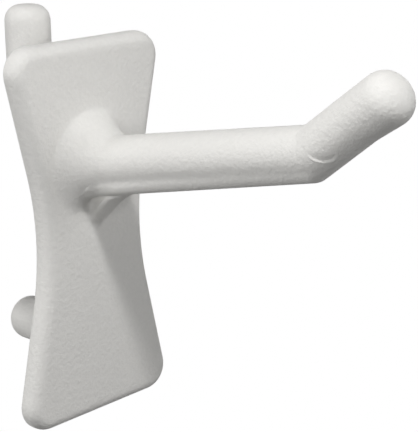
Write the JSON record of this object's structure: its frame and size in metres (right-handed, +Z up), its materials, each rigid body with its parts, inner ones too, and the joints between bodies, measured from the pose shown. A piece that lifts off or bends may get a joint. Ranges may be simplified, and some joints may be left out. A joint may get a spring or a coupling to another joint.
{
  "type": "pegboard hook",
  "caption": "Moulded plastic hook for a pegboard: an hourglass plate with a tapered arm that turns up at its end, and two pegs behind it that hook into the board.",
  "frame": {"origin": "middle of the plate, on its back face, which rests on the board", "axes": "+Z is up, +Y goes from the plate into the board, and the arm points to -Y"},
  "size_m": [0.0222, 0.0591, 0.0489],
  "materials": {
    "moulded_plastic": "fine even spark-eroded texture"
  },
  "bodies": {
    "root": {"pegboard_hook": "moulded_plastic"}
  },
  "joints": []
}
